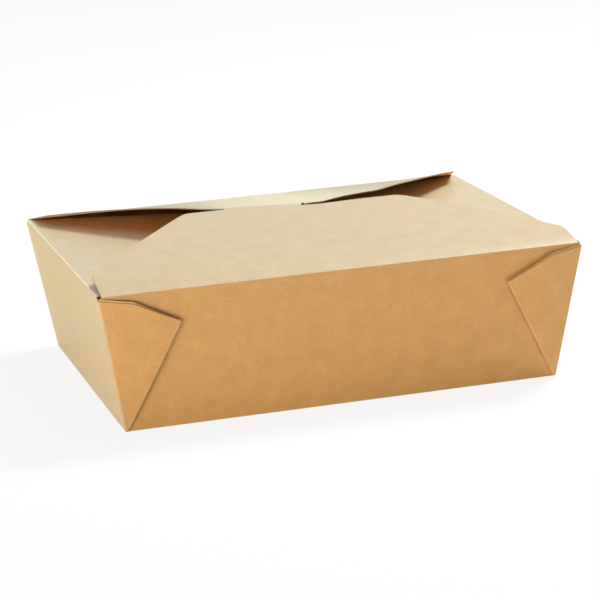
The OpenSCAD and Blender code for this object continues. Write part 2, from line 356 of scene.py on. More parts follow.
@dataclass(frozen=True)
class KraftFinish:
    """One face of kraft board: its tone, clouding, fibres, pale creases with a painted highlight, painted
    end-flap paleness and shine.
    """

    name: str
    tone: Triple
    clouding: float = 0.1
    fibre_show: float = 0.28
    roughness: float = 0.45
    shine: float = 0.25
    sheen: float = 0.9
    coat: float = 0.5
    # Painted light: makes the end flaps paler and greyer than the walls, though they are the same board.
    end_flap_painted_light_tint: Triple = (1.1, 1.78, 4.15)
    sheen_tint: Triple = (0.97, 1.0, 0.75)
    # Turns a flap's painted paler tone back to the walls' tone where its board lies on the wall.
    wall_tint: Triple = (1.0, 1.0, 1.0)
    seed: float = 0.0

    def shade(self, factor: float, warmth: float) -> tuple[float, float, float, float]:
        """Makes the tone lighter or darker, and warmer or colder.

        Args:
            factor: How light it becomes, from 0.
            warmth: How warm it becomes; below 0 it turns colder.

        Returns:
            The colour with its alpha.
        """
        scales = (factor * (1 + 0.2 * warmth), factor, factor * (1 - warmth))
        red, green, blue = (min(tone * scale, 1.0) for tone, scale in zip(self.tone, scales, strict=True))
        return red, green, blue, 1.0

    def fibres(self, bench: NodeBench, vector: Socket, turn: float, seed: float) -> Socket:
        """Draws thin broken lines, as of long fibres that lie in the board's face.

        Args:
            bench: Where the nodes are made.
            vector: The flat sheet's coordinates, in millimetres.
            turn: Angle of the fibres to the board's grain, in radians.
            seed: Tells one set of fibres from another.

        Returns:
            A value that is 1 on a fibre and 0 off it.
        """
        inputs = {"Vector": vector, "Rotation": (0, 0, turn), "Scale": (0.22, 1.0, 1.0)}
        laid = bench.add("ShaderNodeMapping", inputs).outputs[0]
        pattern = bench.noise(laid, scale=0.9, detail=1.5, seed=self.seed + seed)
        off_line = bench.math("ABSOLUTE", bench.math("SUBTRACT", pattern, 0.5))
        line = bench.span(off_line, 0.004, 0.016, 1.0, 0.0)
        breaks = bench.noise(vector, scale=0.55, detail=1.0, seed=self.seed + seed + 3.1)
        return bench.math("MULTIPLY", line, bench.span(breaks, 0.5, 0.58))

    def placed(self, bench: NodeBench, vector: Socket, colour: Socket) -> Socket:
        """Paints the end flaps paler, as painted light, and turns the flaps' painted paler tone back to the
        walls' tone below the main flaps' creases.

        Args:
            bench: Where the nodes are made.
            vector: The flat sheet's coordinates, in millimetres.
            colour: The colour of the whole sheet.

        Returns:
            The tinted colour.
        """
        place = bench.add("ShaderNodeSeparateXYZ", {0: vector}).outputs
        along = bench.math("ABSOLUTE", place["X"])
        across = bench.math("ABSOLUTE", place["Y"])
        on_end_flap = bench.span(along, SIZES.flat_crease_x - 0.4, SIZES.flat_crease_x + 0.4)
        on_wall = bench.span(across, SIZES.flat_crease_y - 0.3, SIZES.flat_crease_y + 0.3, 1.0, 0.0)
        # Painted light: the end flaps are paled as if by sheen, though the board is one colour.
        colour = bench.tint(on_end_flap, colour, bench.times(colour, self.end_flap_painted_light_tint))
        return bench.tint(on_wall, colour, bench.times(colour, self.wall_tint))

    def material(self) -> bpy.types.Material:
        """Builds the finish as a material.

        Returns:
            The material.
        """
        made, bench = new_material(self.name)
        flat = bench.add("ShaderNodeUVMap", uv_map=FLAT_MAP).outputs[0]
        vector = bench.add("ShaderNodeVectorMath", {0: flat, 3: 1 / MM}, operation="SCALE").outputs[0]
        stretched = bench.add("ShaderNodeMapping", {"Vector": vector, "Scale": (0.45, 1.0, 1.0)}).outputs[0]
        clouds = bench.noise(vector, scale=0.11, detail=3.0, seed=self.seed)
        blots = bench.noise(vector, scale=0.42, detail=2.5, seed=self.seed + 1.7)
        grain = bench.noise(stretched, scale=1.9, detail=3.0, seed=self.seed + 5.0)
        spots = bench.noise(vector, scale=0.8, detail=0.0, seed=self.seed + 21.0)
        fine = bench.noise(vector, scale=4.5, detail=2.0, seed=self.seed + 25.0)
        pale_fibres = self.fibres(bench, vector, turn=0.12, seed=9.0)
        dark_fibres = self.fibres(bench, vector, turn=-0.5, seed=13.0)
        cross_fibres = self.fibres(bench, vector, turn=1.2, seed=17.0)
        dark_fibres = bench.math("MAXIMUM", dark_fibres, cross_fibres)
        specks = bench.span(spots, 0.765, 0.79)
        # Folds are painted paler: partly scuffing of the crease, partly a painted highlight where a fold
        # catches light.
        wear_and_highlight = bench.add("ShaderNodeAttribute", attribute_name=CREASE).outputs["Fac"]
        rubbed_and_highlit = bench.math("MULTIPLY", wear_and_highlight, bench.span(grain, 0.35, 0.65, 0.35, 0.75))
        cloud_colours = self.shade(1 - self.clouding, 0.08), self.shade(1 + self.clouding, -0.05)
        colour = bench.tint(bench.span(clouds, 0.3, 0.7), *cloud_colours)
        layers = (
            (bench.span(blots, 0.38, 0.7, 0.0, 0.55), self.shade(1 - 0.9 * self.clouding, 0.12)),
            (bench.span(grain, 0.42, 0.72, 0.0, 0.5), self.shade(1 + 1.3 * self.clouding, -0.05)),
            (bench.math("MULTIPLY", pale_fibres, self.fibre_show), self.shade(1.3, -0.3)),
            (bench.math("MULTIPLY", dark_fibres, 0.7 * self.fibre_show), self.shade(0.68, 0.2)),
            (bench.math("MULTIPLY", specks, 0.25), self.shade(0.5, 0.3)),
            (rubbed_and_highlit, self.shade(1.28, -0.8)),
        )
        for share, layer in layers:
            colour = bench.tint(share, colour, layer)
        rough = bench.span(blots, 0.3, 0.7, self.roughness - 0.05, self.roughness + 0.05)
        rough = bench.math("ADD", rough, bench.math("MULTIPLY", wear_and_highlight, 0.08))
        relief = bench.math("ADD", bench.math("MULTIPLY", fine, 0.35), bench.math("MULTIPLY", grain, 0.5))
        relief = bench.math("ADD", relief, bench.math("MULTIPLY", pale_fibres, 0.3))
        bump_inputs = {"Strength": 0.35, "Distance": 0.03 * MM, "Height": relief}
        shader = bench.add(
            "ShaderNodeBsdfPrincipled",
            {
                "Base Color": self.placed(bench, vector, colour),
                "Roughness": rough,
                "Specular IOR Level": self.shine,
                "Sheen Weight": self.sheen,
                "Sheen Roughness": 0.45,
                "Sheen Tint": (*self.sheen_tint, 1.0),
                "Coat Weight": self.coat,
                "Coat Roughness": 0.3,
                "Normal": bench.add("ShaderNodeBump", bump_inputs).outputs[0],
            },
        )
        bench.add("ShaderNodeOutputMaterial", {"Surface": shader.outputs[0]})
        return made


@dataclass(frozen=True)
class CutEdgeFinish:
    """The board's cut edge: rough and made of layers of fibre, darker than the faces, partly its own colour
    and partly painted shade.
    """

    name: str
    tone: Triple

    def material(self) -> bpy.types.Material:
        """Builds the finish as a material.

        Returns:
            The material.
        """
        made, bench = new_material(self.name)
        place = bench.add("ShaderNodeTexCoord").outputs["Object"]
        fuzz = bench.noise(place, scale=2.2 / MM, detail=3.0, seed=2.0)
        streaks = bench.noise(place, scale=0.5 / MM, detail=2.0, seed=6.0)
        dark = (*(0.8 * channel for channel in self.tone), 1.0)
        light = (*(min(1.12 * channel, 1.0) for channel in self.tone), 1.0)
        share = bench.math("MULTIPLY", bench.math("ADD", fuzz, streaks), 0.5)
        bump_inputs = {"Strength": 0.6, "Distance": 0.05 * MM, "Height": fuzz}
        inputs = {
            "Base Color": bench.tint(bench.span(share, 0.35, 0.65), dark, light),
            "Roughness": bench.span(streaks, 0.3, 0.7, 0.8, 0.95),
            "Normal": bench.add("ShaderNodeBump", bump_inputs).outputs[0],
        }
        shader = bench.add("ShaderNodeBsdfPrincipled", inputs)
        bench.add("ShaderNodeOutputMaterial", {"Surface": shader.outputs[0]})
        return made


@dataclass(frozen=True)
class BoardFinish:
    """The three finishes that one piece of board wears."""

    outside: KraftFinish
    inside: KraftFinish
    cut_edge: CutEdgeFinish

    def dress(self, mesh: bpy.types.Mesh) -> None:
        """Puts the materials into the mesh's slots, in the order of Side.

        Args:
            mesh: The mesh that wears them.
        """
        made = {Side.OUTSIDE: self.outside, Side.INSIDE: self.inside, Side.CUT_EDGE: self.cut_edge}
        for side in Side:
            known = bpy.data.materials.get(made[side].name)
            mesh.materials.append(known or made[side].material())


class FoldedSheet:
    """Middle surface of a folded sheet, gathered from grids of points that meet edge to edge."""

    def __init__(self, name: str) -> None:
        """Starts an empty sheet.

        Args:
            name: Name of the piece to be made.
        """
        self.name = name
        self.points: list[Array] = []
        self.flat: list[Array] = []
        self.wear_and_highlight: list[Array] = []
        self.faces: list[Array] = []
        self.count = 0

    def add(self, points: Array, flat: Array, wear_and_highlight: Value = 0.0) -> None:
        """Adds a grid.

        Args:
            points: Rows by columns of points, in millimetres.
            flat: The same places on the flat sheet before folding, in millimetres.
            wear_and_highlight: How pale each point is made by a crease, from 0 to 1: scuffing and a painted
                highlight.
        """
        rows, columns = points.shape[:2]
        index = np.arange(rows * columns).reshape(rows, columns) + self.count
        quads = np.stack([index[:-1, :-1], index[:-1, 1:], index[1:, 1:], index[1:, :-1]], -1)
        self.faces.append(quads.reshape(-1, 4))
        self.points.append(points.reshape(-1, 3))
        self.flat.append(np.broadcast_to(flat, (rows, columns, 2)).reshape(-1, 2))
        self.wear_and_highlight.append(np.broadcast_to(wear_and_highlight, (rows, columns)).reshape(-1))
        self.count += rows * columns

    def mirror(self, patches: Iterable[Patch], end: Wall, wall: Wall) -> None:
        """Adds grids that are laid out for the end at high x and the wall at high y.

        Args:
            patches: The grids, as in add.
            end: The end to which they are mirrored.
            wall: The long wall to which they are mirrored.
        """
        flip = np.array([end.value, wall.value, 1])
        for points, flat, wear_and_highlight in patches:
            self.add(points * flip, flat * flip[:2], wear_and_highlight)

    def bare_mesh(self, outside_at: Triple, outward: Triple) -> bpy.types.Mesh:
        """Welds the grids, closes the pinholes at corners and turns every face outwards.

        Args:
            outside_at: A point on the sheet, in millimetres.
            outward: The direction in which the outside of the sheet looks there.

        Returns:
            The middle surface as a mesh in metres.
        """
        mesh = bpy.data.meshes.new(self.name)
        mesh.from_pydata(np.concatenate(self.points) * MM, [], np.concatenate(self.faces).tolist())
        flat = np.concatenate(self.flat) * MM
        corners = np.zeros(len(mesh.loops), np.int32)
        mesh.loops.foreach_get("vertex_index", corners)
        mesh.uv_layers.new(name=FLAT_MAP).uv.foreach_set("vector", flat[corners].astype(np.float32).ravel())
        # Per-point paleness at folds: crease scuffing and a painted highlight.
        worn_and_highlit = mesh.attributes.new(CREASE, "FLOAT", "POINT")
        worn_and_highlit.data.foreach_set("value", np.concatenate(self.wear_and_highlight).astype(np.float32))
        work = bmesh.new()
        work.from_mesh(mesh)
        bmesh.ops.remove_doubles(work, verts=work.verts, dist=WELD_REACH * MM)
        self.close_pinholes(work)
        bmesh.ops.recalc_face_normals(work, faces=work.faces)
        here = Vector(outside_at) * MM
        nearest = min(work.faces, key=lambda f: (f.calc_center_median() - here).length)
        if nearest.normal.dot(Vector(outward)) < 0:
            bmesh.ops.reverse_faces(work, faces=work.faces)
        work.to_mesh(mesh)
        work.free()
        return mesh

    def close_pinholes(self, work: bmesh.types.BMesh) -> None:
        """Fills the small loops that are left open where four folds meet.

        Args:
            work: The welded sheet.
        """
        open_edges = {edge for edge in work.edges if edge.is_boundary}
        while open_edges:
            loop = {open_edges.pop()}
            grown = True
            while grown:
                ends = {vert for edge in loop for vert in edge.verts}
                found = {edge for vert in ends for edge in vert.link_edges if edge in open_edges}
                open_edges -= found
                loop |= found
                grown = bool(found)
            if sum(edge.calc_length() for edge in loop) < PINHOLE_LENGTH * MM:
                filled = bmesh.ops.holes_fill(work, edges=list(loop), sides=0)["faces"]
                bmesh.ops.triangulate(work, faces=filled)
                log.debug("%s: closed a pinhole of %d edges", self.name, len(loop))

    def board(self, finish: BoardFinish, outside_at: Triple, outward: Triple) -> bpy.types.Object:
        """Thickens the sheet to both sides and dresses it.

        Args:
            finish: The finishes of the outside, the inside and the cut edges.
            outside_at: A point on the sheet, in millimetres.
            outward: The direction in which the outside of the sheet looks there.

        Returns:
            The finished piece.
        """
        bare = new_object(self.name, self.bare_mesh(outside_at, outward))
        finish.dress(bare.data)
        thick = bare.modifiers.new("board", "SOLIDIFY")
        thick.thickness = SIZES.board * MM
        thick.offset = 0
        thick.material_offset = Side.INSIDE.value
        thick.material_offset_rim = Side.CUT_EDGE.value
        graph = bpy.context.evaluated_depsgraph_get()
        solid = bpy.data.meshes.new_from_object(bare.evaluated_get(graph))
        bare.modifiers.clear()
        bare.data = solid
        solid.name = self.name
        solid.shade_smooth()
        solid.set_sharp_from_angle(angle=math.radians(SHARP_ANGLE))
        return bare


@dataclass(frozen=True)
class Tray:
    """The folded tray: base, walls, corner gussets of two layers, and end flaps, from one sheet.

    Each part is laid out once, for the end at high x and the wall at high y, and mirrored to the others.
    """

    gusset_drop: float = 1.3
    gusset_shoulder: float = 14.4
    gusset_shoulder_drop: float = 3.5
    gusset_reach: float = 34.5
    gusset_tip_drop: float = 13.4
    gusset_inner_rise: float = 0.75
    shoulder_share: float = 0.4
    ply_pitch: float = 0.47
    layer_gap: float = 0.02
    gusset_spring: float = 0.5
    inner_share: float = 0.35
    tip_spring: float = 1.3
    tip_bow: float = 3.5
    edge_bow: float = 0.8
    edge_growth: float = 1.6
    fold_line: float = 0.055
    end_flap_length: float = 74.0
    end_flap_root: float = 76.0
    end_flap_tip: float = 62.0
    end_flap_radius: float = 9.0
    end_flap_dip: float = 1.0
    # How pale the end flaps' crease is painted: scuffing and a painted highlight.
    end_flap_wear_and_highlight: float = 0.25
    rows: int = 24
    fold_steps: int = 6
    gusset_columns: int = 20
    wall_columns: int = 48
    root_columns: int = 36
    side_columns: int = 6
    end_flap_rows: int = 27

    @property
    def row_shares(self) -> Array:
        """Shares of the way from a gusset's fold to its free edge at which its rows stand."""
        return np.concatenate([[0.0, self.fold_line / 2], np.linspace(self.fold_line, 1, self.rows - 1)])

    @property
    def column_shares(self) -> Array:
        """Shares of the way from the corner to a gusset's tip at which the columns stand."""
        return np.linspace(0, 1, self.gusset_columns + 1)

    @property
    def arc_shares(self) -> Array:
        """Shares of the way round a sharp fold at which its points stand."""
        return np.linspace(0, 1, self.fold_steps + 1)

    @property
    def arc_wear_and_highlight(self) -> Array:
        """How far a sharp fold pales the board, at the same places: crease scuffing and a painted highlight.
        """
        return np.sin(math.pi * self.arc_shares)

    @property
    def outer_out(self) -> float:
        """Distance of a gusset's outer layer from its wall, between their middle surfaces."""
        return 2 * self.ply_pitch

    @property
    def up_front(self) -> Array:
        """Direction up a long wall, as [outwards, up]."""
        return np.array([SIZES.front_run, SIZES.rise]) / SIZES.front_slant

    @property
    def up_end(self) -> Array:
        """Direction up an end wall, as [outwards, up]."""
        return np.array([SIZES.end_run, SIZES.rise]) / SIZES.end_slant

    def on_wall(self, x: Array, v: Array, out: Value = 0.0) -> Array:
        """Returns points on or before the long wall, from x, height along its slope and distance from it."""
        lean, up = self.up_front
        return stacked(x, SIZES.base_y + v * lean + out * up, SIZES.half_board + v * up - out * lean)

    def corner_x(self, v: Value, out: float = 0.0) -> Value:
        """Returns where the end wall's middle surface meets a long wall's, at a height along its slope."""
        lean, up = self.up_front
        return SIZES.base_x + (v * up - out * lean) * SIZES.end_run / SIZES.rise

    def gusset_patch(self, inset: float, foot: float, out: float, rise: float) -> tuple[Array, Array]:
        """Lays out one layer of a gusset in its wall's plane.

        Args:
            inset: Distance from the corner line at which the layer's flat part starts.
            foot: Height along the slope at which it starts.
            out: Distance of the layer's middle surface from the wall's.
            rise: How far its free edge stands above the outer layer's.

        Returns:
            The places along the box and the heights along the slope, with rows from the fold to the free
            edge and columns from the corner to the tip.
        """
        top = SIZES.front_slant - self.gusset_drop + rise
        shoulder_v = SIZES.front_slant - self.gusset_shoulder_drop + rise
        tip = np.array([SIZES.crease_x - self.gusset_reach, SIZES.front_slant - self.gusset_tip_drop])
        shoulder = np.array([SIZES.crease_x - self.gusset_shoulder, shoulder_v])
        start = np.array([self.corner_x(foot, out) - inset, foot])
        corner = np.array([self.corner_x(top, out) - inset, top])
        c = self.column_shares[None, :, None]
        turn = self.shoulder_share
        falling = lerp(shoulder, tip, (c - turn) / (1 - turn))
        upper = np.where(c < turn, lerp(corner, shoulder, c / turn), falling)
        laid = lerp(lerp(start, tip, c), upper, self.row_shares[:, None, None])
        laid[:, 0, 0] = self.corner_x(laid[:, 0, 1], out) - inset
        return laid[..., 0], laid[..., 1]

    @property
    def outer_patch(self) -> tuple[Array, Array]:
        """The outer layer of a gusset in its wall's plane."""
        return self.gusset_patch(SIZES.fold_radius, self.end_foot, self.outer_out, 0.0)

    def spring(self, v: Array, gap: float) -> Array:
        """Lets a gusset layer spring away from the wall, at its fold and most at its free edge.

        Args:
            v: Heights of the layer's points along the slope.
            gap: Distance by which its free edge springs away more than its fold.

        Returns:
            The distance for each point.
        """
        c = self.column_shares[None, :]
        f = self.row_shares[:, None]
        height = np.clip(v / SIZES.front_slant, 0, 1)
        at_fold = self.tip_spring * (1 - (1 - c) ** self.tip_bow)
        return at_fold + gap * np.sin(math.pi * c) ** self.edge_bow * f**self.edge_growth * height**2

    def flat_gusset(self, x: Array, v: Array, outer: bool) -> Array:
        """Finds the places of a gusset layer's points on the flat sheet, turned about the base's corner.

        Args:
            x: Places along the box.
            v: Heights along the slope.
            outer: Whether this is the outer layer.

        Returns:
            The places on the flat sheet.
        """
        along = SIZES.base_x - x
        radius = np.hypot(along, v)
        side = math.atan2(SIZES.end_run, SIZES.front_slant)
        from_edge = np.arctan2(along, v) + side
        angle = side + from_edge if outer else math.pi / 2 - side - from_edge
        return stacked(SIZES.base_x + radius * np.cos(angle), SIZES.base_y + radius * np.sin(angle))

    @property
    def wall_inset(self) -> float:
        """Distance from the corner line at which a long wall's flat part ends."""
        return SIZES.board + self.ply_pitch / 2 + self.layer_gap

    @property
    def front_foot(self) -> float:
        """Height along a long wall at which it leaves the fold of the base."""
        return setback(np.array([-1.0, 0.0]), self.up_front, SIZES.fold_radius)

    @property
    def end_foot(self) -> float:
        """Height along an end wall at which it leaves the fold of the base."""
        return setback(np.array([-1.0, 0.0]), self.up_end, SIZES.fold_radius)

    def wall_end(self, v: Value) -> Value:
        """Returns where a long wall's flat part ends along the box."""
        return self.corner_x(v) - self.wall_inset

    @property
    def root_share(self) -> float:
        """Share of an end wall's half width that the end flap's crease takes."""
        return self.end_flap_root / self.end_reach(1.0)

    @property
    def across(self) -> Array:
        """Shares across an end wall at which its columns stand, among them the crease's ends."""
        inner = np.linspace(-self.root_share, self.root_share, self.root_columns + 1)
        outer = np.linspace(self.root_share, 1, self.side_columns + 1)[1:]
        return np.concatenate([-outer[::-1], inner, outer])

    @property
    def along(self) -> Array:
        """Shares along a long wall at which its columns stand."""
        return np.linspace(-1, 1, self.wall_columns + 1)

    def end_height(self, share: Array) -> Array:
        """Finds the upper boundary of an end wall.

        Args:
            share: Shares across the wall.

        Returns:
            The boundary's height along the slope at each share.
        """
        start = SIZES.end_slant - self.end_crease_setback
        drop = self.gusset_drop - self.end_crease_setback
        return start - drop * np.clip((np.abs(share) - self.root_share) / (1 - self.root_share), 0, 1)

    def end_reach(self, f: Value) -> Value:
        """Finds how far an end wall's flat part reaches to each side.

        Args:
            f: Share of the wall's height at the corner.

        Returns:
            The distance from the box's middle.
        """
        v = lerp(self.end_foot, SIZES.end_slant - self.gusset_drop, f)
        lean, up = self.up_front
        v_front = (v * self.up_end[1] + self.outer_out * lean) / up
        return SIZES.base_y + v_front * lean + self.outer_out * up - SIZES.fold_radius

    @property
    def flap_direction(self) -> Array:
        """Direction of an end flap from its crease, as [outwards, up]."""
        dip = math.radians(self.end_flap_dip)
        return np.array([-math.cos(dip), -math.sin(dip)])

    @property
    def end_crease_setback(self) -> float:
        """Distance from an end flap's crease line at which the fold starts."""
        return setback(-self.up_end, self.flap_direction, SIZES.fold_radius)

    def bend(self, corner: Array, toward_a: Array, toward_b: Array) -> Array:
        """Returns the arc of a sharp fold at each corner, from the first side to the second."""
        return arc(corner, toward_a, toward_b, SIZES.fold_radius, self.fold_steps)

    def turn_over(self, edges: list[Array], flats: list[Array], away: Array) -> Patch:
        """Lays a fold that turns the board right over, from one edge to another.

        Args:
            edges: The points along each of the two edges.
            flats: The same places on the flat sheet.
            away: Direction in which the fold bulges.

        Returns:
            The fold.
        """
        theta = np.linspace(0, math.pi, 2 * self.fold_steps + 1)[None, :, None]
        middle = (edges[0] + edges[1])[:, None] / 2
        half = (edges[0] - edges[1])[:, None] / 2
        reach = np.linalg.norm(half, axis=-1, keepdims=True)
        fold = middle + half * np.cos(theta) + away * reach * np.sin(theta)
        flat = lerp(flats[0][:, None], flats[1][:, None], (1 - np.cos(theta)) / 2)
        # The last value pales the fold: crease scuffing and a painted highlight.
        return fold, flat, np.sin(theta[..., 0])

    def base(self) -> Patch:
        """Lays the flat part of the base.

        Returns:
            Its grid, with columns along the box.
        """
        end_x = SIZES.base_x - self.end_foot
        x = np.concatenate([[-end_x], self.along * self.wall_end(self.front_foot), [end_x]])
        x, y = np.meshgrid(x, self.across * (SIZES.base_y - self.front_foot))
        return stacked(x, y, SIZES.half_board), stacked(x, y), 0.0

    def long_wall(self) -> list[Patch]:
        """Lays the fold at a long wall's foot and the wall's flat part, up to just below its crease.

        Returns:
            The two grids.
        """
        x = self.along * self.wall_end(self.front_foot)
        corner = stacked(x, SIZES.base_y, SIZES.half_board)
        fold = self.bend(corner, np.array([0.0, -1.0, 0.0]), np.array([0.0, *self.up_front]))
        flat_y = SIZES.base_y + lerp(-self.front_foot, self.front_foot, self.arc_shares)
        foot = fold, stacked(x[:, None], flat_y[None, :]), self.arc_wear_and_highlight
        v = np.linspace(self.front_foot, SIZES.front_slant - SIZES.crease_lip, self.rows + 1)[:, None]
        x = self.along[None, :] * self.wall_end(v)
        return [foot, (self.on_wall(x, v), stacked(x, SIZES.base_y + v), 0.0)]

    def end_wall(self) -> Patch:
        """Lays the flat part of an end wall.

        Returns:
            Its grid, with rows from the foot up.
        """
        f = self.row_shares[:, None]
        share = self.across[None, :]
        v = lerp(self.end_foot, self.end_height(share), f)
        y = share * self.end_reach(f)
        lean, up = self.up_end
        points = stacked(SIZES.base_x + v * lean, y, SIZES.half_board + v * up)
        return points, stacked(SIZES.base_x + v, y), 0.0

    def end_foot_fold(self) -> Patch:
        """Lays the fold at an end wall's foot.

        Returns:
            Its grid, with rows along the fold.
        """
        y = self.across * (SIZES.base_y - self.front_foot)
        foot_y = self.across * self.end_reach(0.0)
        lean, up = self.up_end
        corner = stacked(SIZES.base_x, np.zeros(len(y)), SIZES.half_board)
        fold = self.bend(corner, np.array([-1.0, 0.0, 0.0]), np.array([lean, 0.0, up]))
        fold[..., 1] = lerp(y[:, None], foot_y[:, None], self.arc_shares[None, :])
        flat_x = SIZES.base_x + lerp(-self.end_foot, self.end_foot, self.arc_shares)
        return fold, stacked(flat_x[None, :], fold[..., 1]), self.arc_wear_and_highlight

    def end_flap(self) -> list[Patch]:
        """Lays an end flap and the crease that joins it to its wall.

        Returns:
            The grids of the crease and of the flap.
        """
        share = self.across[np.abs(self.across) <= self.root_share + 1e-9]
        y = share * self.end_reach(1.0)
        lean, up = self.up_end
        out, down = self.flap_direction
        corner = stacked(SIZES.crease_x, y, SIZES.crease_height)
        fold = self.bend(corner, np.array([-lean, 0.0, -up]), np.array([out, 0.0, down]))
        back = self.end_crease_setback
        flat_x = SIZES.flat_crease_x + lerp(-back, back, self.arc_shares)
        crease = fold, stacked(flat_x[None, :], y[:, None]), self.end_flap_wear_and_highlight * self.arc_wear_and_highlight
        reach = self.end_flap_length
        corners = [(back, self.end_flap_root), (reach, self.end_flap_tip), (reach, 0)]
        outline = rounded_outline(corners, [0, self.end_flap_radius, 0], 14)[:-1]
        straight = np.linspace(back, reach - self.end_flap_radius, self.end_flap_rows + 1)
        d = np.unique(np.concatenate([straight, outline[:, 0]]))
        half = np.interp(d, outline[:, 0], outline[:, 1])
        half[-1] = outline[-1, 1]
        d = d[:, None]
        y = (share / share[-1])[None, :] * half[:, None]
        points = stacked(SIZES.crease_x + d * out, y, SIZES.crease_height + d * down)
        points[0] = fold[:, -1]
        return [crease, (points, stacked(SIZES.flat_crease_x + d, y), 0.0)]

    def side_fold(self) -> Patch:
        """Lays the fold between an end wall and the outer layer of a gusset.

        Returns:
            Its grid, with rows from the foot up.
        """
        edge, edge_flat = (grid[:, -1] for grid in self.end_wall()[:2])
        x, v = (grid[:, 0] for grid in self.outer_patch)
        side = self.on_wall(x, v, self.outer_out)
        inward = np.array([0.0, -1.0, 0.0])
        fold = self.bend(edge - inward * SIZES.fold_radius, inward, np.array([-1.0, 0.0, 0.0]))
        t = self.arc_shares[None, :, None]
        fold = fold + (edge - fold[:, 0])[:, None] * (1 - t) + (side - fold[:, -1])[:, None] * t
        flat = lerp(edge_flat[:, None], self.flat_gusset(x, v, outer=True)[:, None], t)
        return fold, flat, self.arc_wear_and_highlight

    def corner(self) -> list[Patch]:
        """Lays a gusset's two layers, the fold between them and the one that joins them to the long wall.

        Returns:
            The grids of the inner layer, the outer layer and the two folds.
        """
        inner_x, inner_v = self.gusset_patch(self.wall_inset, self.front_foot, 0.0, self.gusset_inner_rise)
        outer_x, outer_v = self.outer_patch
        inner_out = self.ply_pitch + self.spring(inner_v, self.inner_share * self.gusset_spring)
        inner = self.on_wall(inner_x, inner_v, inner_out)
        outer = self.on_wall(outer_x, outer_v, self.outer_out + self.spring(outer_v, self.gusset_spring))
        inner_flat = self.flat_gusset(inner_x, inner_v, outer=False)
        outer_flat = self.flat_gusset(outer_x, outer_v, outer=True)
        # Pale band along the gusset's diagonal fold: crease scuffing and a painted highlight where the fold
        # catches light.
        worn_and_highlit = np.clip(1 - self.row_shares / self.fold_line, 0, 1)[:, None]
        run_x = outer_x[0, -1] - outer_x[0, 0]
        run_v = outer_v[0, -1] - outer_v[0, 0]
        along = np.array([1.0, 0, 0])
        away = unit(along * -run_v + np.array([0.0, *self.up_front]) * run_x)
        fold = self.turn_over([outer[0], inner[0]], [outer_flat[0], inner_flat[0]], away)
        v = inner_v[:, 0]
        x = self.wall_end(v)
        flats = [stacked(x, SIZES.base_y + v), inner_flat[:, 0]]
        to_wall = self.turn_over([self.on_wall(x, v), inner[:, 0]], flats, along)
        return [(inner, inner_flat, 0.0), (outer, outer_flat, worn_and_highlit), fold, to_wall]

    def build(self, finish: BoardFinish) -> bpy.types.Object:
        """Folds the tray.

        Args:
            finish: The finishes that it wears.

        Returns:
            The tray as one piece that rides on the tray's body.
        """
        sheet = FoldedSheet("folded_tray")
        sheet.add(*self.base())
        for wall in Wall:
            sheet.mirror(self.long_wall(), Wall.HIGH, wall)
        for end in Wall:
            sheet.mirror([self.end_foot_fold(), self.end_wall(), *self.end_flap()], end, Wall.HIGH)
            for wall in Wall:
                sheet.mirror([self.side_fold(), *self.corner()], end, wall)
        piece = sheet.board(finish, (0, 0, SIZES.half_board), (0, 0, -1))
        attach(piece, "tray")
        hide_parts("tray")
        return piece


@dataclass(frozen=True)
class TongueBed:
    """The flat middle of the back flap, on which the front flap's tongue lies."""

    slope: float = 0.0165
    twist: float = 0.05
    twist_reach: float = 27.0

    def slope_at(self, x: Array) -> Array:
        """Returns how steeply the middle rises from its crease, at several places along the box."""
        return self.slope - self.twist * np.tanh(x / self.twist_reach)

    def height(self, x: Array, y: Array) -> Array:
        """Returns the height of the middle's own middle surface."""
        return SIZES.crease_height + self.slope_at(x) * (SIZES.crease_y - y)


